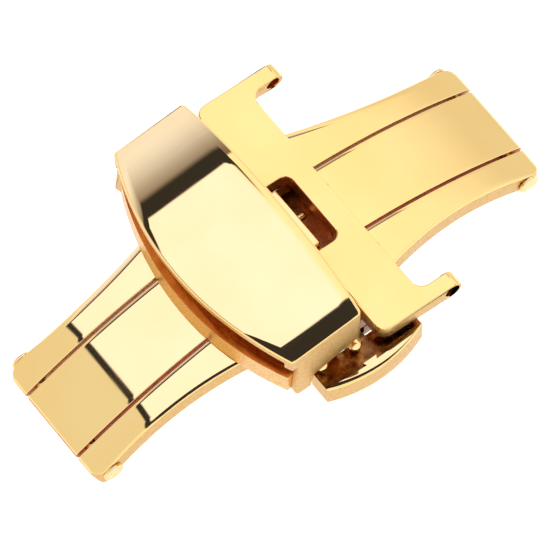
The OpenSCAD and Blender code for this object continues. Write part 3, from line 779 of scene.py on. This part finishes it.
def make_button():
    """The push button: a polished crescent with a rounded outer edge and a lower inner side in painted dark
    brown shade.
    """
    piece = clean_copy("pusher_button")
    wear_edges(piece, button_edge_width, 10, 35, CROWN_FLAT)
    low, high = BUTTON_TOP - 1, BUTTON_TOP + 2
    well = add_block("well", (-5, 5), (-12, MID_Y - 5), (BUTTON_TOP - WELL_DEPTH, BUTTON_TOP + 1))
    arc = add_rod("well_edge", WELL_R, (0, WELL_Y + WELL_R, low), (0, WELL_Y + WELL_R, high),
                  WIDE_ARC_SIDES)
    combine(well, arc, "INTERSECT")
    combine(well, add_rod("stem", STEM_R, (STEM_X, STEM_Y, low), (STEM_X, STEM_Y, high), 3), "DIFFERENCE")
    combine(piece, well, "DIFFERENCE")
    wear_edges(piece, lambda at, way: 0.07 if at.z < low else 0, 3, 40)
    smooth_faces(piece, 28)
    fit_on(piece, "pusher", "polished_gold", mirror, "pusher_button")
    # Upright faces: brushed satin, darkened with painted shade
    finish_sides(piece, satin_and_shade, upright)
    # Floor and wall of the well: painted dark brown shade
    finish_sides(piece, painted_shade, in_well)


def make_base_frame():
    rails = dress("base_frame", "base", "polished_gold", strip_mirror, rail_edge_width)
    # Upright faces: brushed satin, darkened with painted shade
    finish_sides(rails, satin_and_shade, upright)
    # Slot walls: painted deep orange shade
    finish_sides(rails, painted_fold_shade, in_slot)
    # Rail walls that face the button: painted dark brown shade
    finish_sides(rails, painted_shade, near_wall)


def make_lock_housing():
    # The housing is brushed satin, darkened with painted shade
    housing = dress("lock_housing", "base", "satin_gold", satin_and_shade, 0.15)
    # Inside of the housing: painted deep orange shade
    finish_sides(housing, inside, in_housing)
    # Housing walls that face the button: painted dark brown shade
    finish_sides(housing, painted_shade, near_wall)


def make_centre():
    """The bright block in the window, and the bar and the pins that cross the base."""
    dress("centre_block", "base", "polished_gold", mirror, 0.15)
    dress("cross_bar", "base", "pin_gold", pins, 0.03)
    dress("detent_pin", "base", "pin_gold", pins, 0)
    dress("hinge_pin_left", "base", "pin_gold", pins, 0.05)
    dress("hinge_pin_right", "base", "pin_gold", pins, 0.05)


def make_blades():
    for side, body in (("left", "keeper_wing"), ("right", "lug_wing")):
        blade = dress(side + "_blade", body, "polished_gold", strip_mirror, blade_edge_width)
        # Blade sides, which sit in the slots: painted deep orange shade
        finish_sides(blade, painted_fold_shade, upright)


def make_tray():
    tray = dress("keeper_tray", "keeper_wing", "satin_gold", tray_satin, 0.05)
    # Tray floor, rims and inner rim wall: painted deep orange shade
    finish_sides(tray, painted_fold_shade, in_tray)


def make_keeper_pins():
    dress("keeper_pins", "keeper_wing", "pin_gold", pins, 0.04)
    dress("strap_peg", "keeper_wing", "pin_gold", pins, 0)


def make_lug_plate():
    lugs = dress("lug_plate", "lug_wing", "polished_gold", mirror, 0.1)
    # Upright faces: brushed satin, darkened with painted shade
    finish_sides(lugs, satin_and_shade, upright)
    # Window walls: painted deep orange shade
    finish_sides(lugs, inside, in_window)
    # Lug hole walls: painted deep orange shade
    finish_sides(lugs, painted_fold_shade, in_lug_hole)


def finish_small_nodes():
    """Finishes for the machined nodes that show as they are."""
    for node in ("housing_rivets", "button_pin", "left_rivets", "right_rivets"):
        finish_with(frame["nodes"][node], pins)
    for node in ("latch_slide", "left_catches", "right_catches"):
        finish_with(frame["nodes"][node], gilt)
    finish_with(frame["nodes"]["pusher_spring"], steel)


# Light, floor and camera

def pale_floor():
    """White table, low enough for the unfolded wings to clear it; a lift for the camera keeps it white."""
    material, tree, shader = start_material("pale_table")
    tone = two_tone(tree, noise(tree, 60, 2), *PALE_TABLE)
    tree.links.new(tone.outputs["Color"], shader.inputs["Base Color"])
    shader.inputs["Roughness"].default_value = 0.9
    shader.inputs["Specular IOR Level"].default_value = 0.1
    seen = tree.nodes.new("ShaderNodeLightPath")
    by_eye = calculate(tree, "MAXIMUM", seen.outputs["Is Camera Ray"], seen.outputs["Is Glossy Ray"])
    by_eye = calculate(tree, "MAXIMUM", by_eye, seen.outputs["Is Transmission Ray"])
    lift = calculate(tree, "MULTIPLY", by_eye, TABLE_LIFT)
    shader.inputs["Emission Color"].default_value = (1, 1, 1, 1)
    tree.links.new(lift, shader.inputs["Emission Strength"])
    deselect_all()
    bpy.ops.mesh.primitive_plane_add(size=TABLE_SIZE, location=(0, 0, TABLE_Z * MM))
    floor = bpy.context.object
    floor.name = "table"
    finish_with(floor, material)


def ease(tree, value, start, end):
    """0 before start and 1 past end, or the other way round where start is the larger."""
    node = tree.nodes.new("ShaderNodeMapRange")
    node.interpolation_type = "SMOOTHSTEP"
    low, high = min(start, end), max(start, end)
    node.inputs["From Min"].default_value = low
    node.inputs["From Max"].default_value = high
    node.inputs["To Min"].default_value = 0 if start < end else 1
    node.inputs["To Max"].default_value = 1 if start < end else 0
    tree.links.new(value, node.inputs["Value"])
    return node.outputs[0]


def between(tree, value, low, high, soft):
    """1 between low and high and 0 outside, over an edge as wide as soft."""
    rise = ease(tree, value, low - soft / 2, low + soft / 2)
    fall = ease(tree, value, high + soft / 2, high - soft / 2)
    return calculate(tree, "MULTIPLY", rise, fall)


def lay_over(tree, under, over, mask):
    """The colour over, laid on the colour under where the mask is 1."""
    node = tree.nodes.new("ShaderNodeMix")
    node.data_type = "RGBA"
    tree.links.new(mask, node.inputs["Factor"])
    for socket, value in ((node.inputs[6], under), (node.inputs[7], over)):
        if isinstance(value, tuple):
            socket.default_value = (*value, 1)
        else:
            tree.links.new(value, socket)
    return node.outputs[2]


def room_walls(tree, along, across):
    """White all round, a little darker on the left and lighter on the right, with a brown wall behind."""
    light = lay_over(tree, ROOM_WHITE, ROOM_LEFT, calculate(
        tree, "MULTIPLY", ease(tree, along, -0.5, -0.56), ease(tree, across, -0.35, 0.0)))
    right_wall = lay_over(tree, ROOM_RIGHT_NEAR, ROOM_RIGHT_FAR, ease(tree, along, 0.5, 2.6))
    light = lay_over(tree, light, right_wall, calculate(
        tree, "MULTIPLY", ease(tree, along, 0.3, 0.5), ease(tree, across, -0.2, 0.1)))
    brown_wall = lay_over(tree, BROWN_LOW, BROWN_HIGH, ease(tree, across, 0.43, 0.69))
    behind = calculate(tree, "MULTIPLY", between(tree, along, BROWN_LEFT, BROWN_RIGHT, 0.1),
                       ease(tree, across, 0.42, 0.44))
    return lay_over(tree, light, brown_wall, behind)


def dark_frame(tree, light, along, across):
    """The dark frame round the soft box, and the two steps of it on the button's side."""
    frame_mask = calculate(tree, "MULTIPLY", between(tree, along, FRAME_LEFT, FRAME_RIGHT, 0.01),
                           between(tree, across, FRAME_NEAR, FRAME_FAR, 0.035))
    light = lay_over(tree, light, DARK_FRAME, frame_mask)
    for reach, low in NEAR_FRAMES:
        near_frame = calculate(tree, "MULTIPLY", between(tree, along, FRAME_LEFT, reach, 0.01),
                               between(tree, across, low, 0.0, 0.012))
        light = lay_over(tree, light, DARK_FRAME, near_frame)
    return light


def soft_box(tree, light, along, across):
    """The soft box, whose far side runs in towards the lug side, where it fades into the right wall."""
    corner = calculate(tree, "MULTIPLY", ease(tree, along, BOX_CORNER_START, BOX_CORNER_END),
                       BOX_CORNER_CUT)
    box_far = ease(tree, calculate(tree, "ADD", across, corner), BOX_FAR_DARK, BOX_FAR_WHITE)
    box_mask = calculate(tree, "MULTIPLY", between(tree, along, BOX_LEFT, BOX_RIGHT, 0.012), calculate(
        tree, "MULTIPLY", ease(tree, across, -BOX_NEAR_SOFT, BOX_NEAR_SOFT), box_far))
    box_light = lay_over(tree, SOFT_BOX, ROOM_RIGHT_NEAR, ease(tree, along, 0.2, 0.5))
    return lay_over(tree, light, box_light, calculate(
        tree, "MULTIPLY", box_mask, ease(tree, along, BOX_RIGHT, 0.6)))


def room_light():
    """A white room with a long soft box overhead, the dark frame round it and a brown wall behind.

    Along is the slope of a direction towards the lug side, and across how far it leans away from
    the button.
    """
    world = bpy.data.worlds.new("white_room")
    bpy.context.scene.world = world
    world.use_nodes = True
    tree = world.node_tree
    tree.nodes.clear()
    out = tree.nodes.new("ShaderNodeOutputWorld")
    back = tree.nodes.new("ShaderNodeBackground")
    place = tree.nodes.new("ShaderNodeTexCoord")
    split = tree.nodes.new("ShaderNodeSeparateXYZ")
    tree.links.new(place.outputs["Generated"], split.inputs["Vector"])
    height = calculate(tree, "MAXIMUM", split.outputs["Z"], 0.02)
    along = calculate(tree, "DIVIDE", split.outputs["X"], height)
    across = split.outputs["Y"]
    light = room_walls(tree, along, across)
    light = dark_frame(tree, light, along, across)
    light = soft_box(tree, light, along, across)
    tree.links.new(light, back.inputs["Color"])
    back.inputs["Strength"].default_value = 1
    tree.links.new(back.outputs["Background"], out.inputs["Surface"])


def photo_camera():
    data = bpy.data.cameras.new("photo_camera")
    camera = bpy.data.objects.new("photo_camera", data)
    bpy.context.scene.collection.objects.link(camera)
    camera.location = (LOOK_AT + VIEW_BACK * CAMERA_AWAY - VIEW_UP * CAMERA_DOWN
                       - VIEW_RIGHT * CAMERA_LEFT)
    camera.rotation_mode = "QUATERNION"
    camera.rotation_quaternion = (-VIEW_BACK).to_track_quat("-Z", "Y")
    data.lens = LENS
    data.sensor_width = SENSOR
    data.clip_start = CLIP_START
    data.clip_end = CLIP_END
    bpy.context.scene.camera = camera


bpy.context.scene.view_settings.view_transform = "Standard"
photo_camera()
pale_floor()
room_light()

mirror = polished_gold("polished_gold_plate")
cover_mirror = polished_gold("polished_cover_plate", cover_roll)
strip_mirror = polished_gold("polished_strip_plate", strip_roll)
# Brushed satin finish, darkened as painted shade, for upright sides and the lock housing
satin_and_shade = satin_gold("satin_and_shade_gold_plate", SATIN_AND_SHADE)
tray_satin = satin_gold("grained_gold_plate", GRAINED)
# Painted shade, deep orange, for the inside of the housing and the lug plate's window
inside = satin_gold("inside_shade_gold_plate", INSIDE)
# Painted shade, dark brown, for the button's well and the walls that face the button
painted_shade = painted_shade_gold()
# Painted shade, deep orange, for folds, slots and holes
painted_fold_shade = painted_fold_shade_gold()
pins = pin_gold()
steel = inner_steel()
gilt = satin_gold("gilt_steel", GILT)

make_base_frame()
make_lock_housing()
make_centre()
make_button()
make_blades()
make_tray()
make_cover()
make_keeper_pins()
make_lug_plate()
finish_small_nodes()
